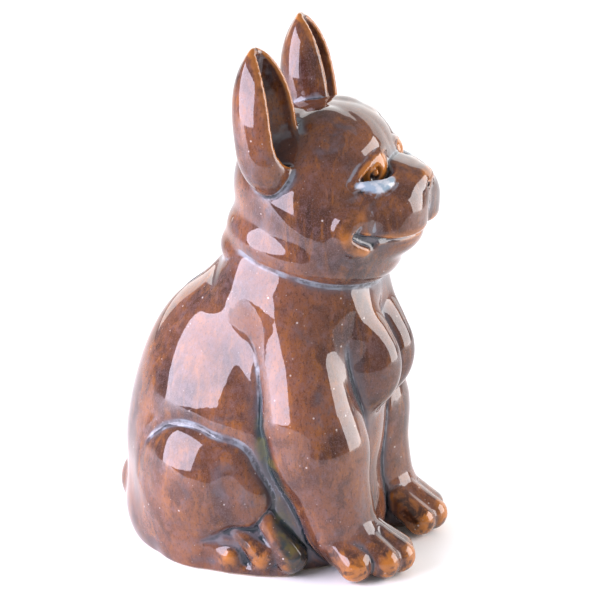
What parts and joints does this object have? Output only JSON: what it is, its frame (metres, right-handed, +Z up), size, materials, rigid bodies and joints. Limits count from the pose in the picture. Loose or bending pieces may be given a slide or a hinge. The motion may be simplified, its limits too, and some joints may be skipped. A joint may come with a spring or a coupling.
{
  "type": "dog coin bank",
  "caption": "Hollow glazed ceramic bulldog that sits upright with pricked ears, with a coin slot in its back and a rubber stopper in its base.",
  "frame": {"origin": "centre of the outline's box at the level of the table", "axes": "+Z up, the dog faces -Y, its left side is +X"},
  "size_m": [0.095, 0.1162, 0.187],
  "materials": {
    "brown_glaze": "glossy brown reactive glaze, amber on thin edges, blue-grey where it pools",
    "stopper_rubber": "matt moulded rubber"
  },
  "bodies": {
    "dog": {"ceramic_body": "brown_glaze"},
    "stopper": {"rubber_stopper": "stopper_rubber"}
  },
  "joints": [
    {"name": "stopper_pull", "type": "slide", "parent": "dog", "child": "stopper", "axis": [0, 0, -1], "range_m": [0, 0.05]}
  ]
}
